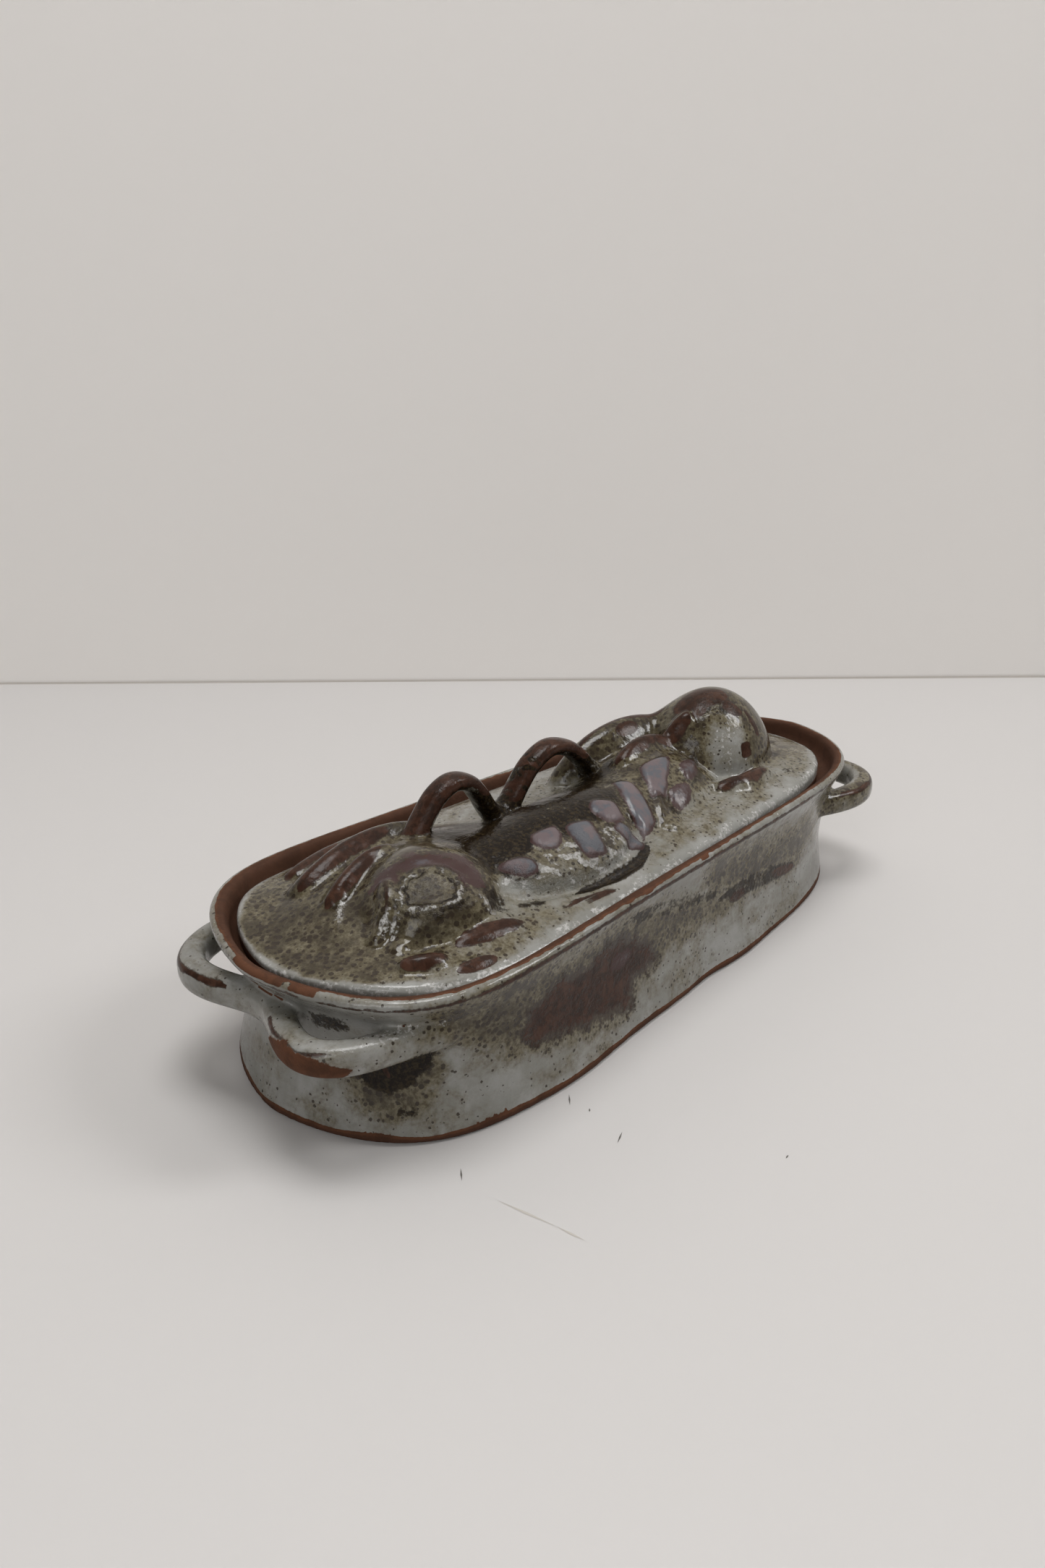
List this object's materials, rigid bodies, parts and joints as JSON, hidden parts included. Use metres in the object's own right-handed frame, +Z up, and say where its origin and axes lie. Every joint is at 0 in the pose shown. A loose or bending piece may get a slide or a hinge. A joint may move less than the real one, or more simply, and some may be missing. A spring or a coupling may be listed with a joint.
{
  "type": "casserole dish",
  "caption": "Long oval lidded stoneware casserole dish: flared rim with inner ledge, wavy strap handles at the ends, lid modelled with a resting hare in relief and an arched grip.",
  "frame": {"origin": "on the table, under the middle of the dish's own box", "axes": "+X along the dish from its broader end towards the animal's head, +Z up"},
  "size_m": [0.4252, 0.1679, 0.1207],
  "materials": {
    "dish_glaze": "glossy pale blue-grey glaze over iron-brown stoneware, bare on the rim, ledge and foot",
    "lid_glaze": "glossy speckled glaze, lavender and iron brown on the raised modelling"
  },
  "bodies": {
    "root": {"dish": "dish_glaze", "lid": "lid_glaze"}
  },
  "joints": []
}
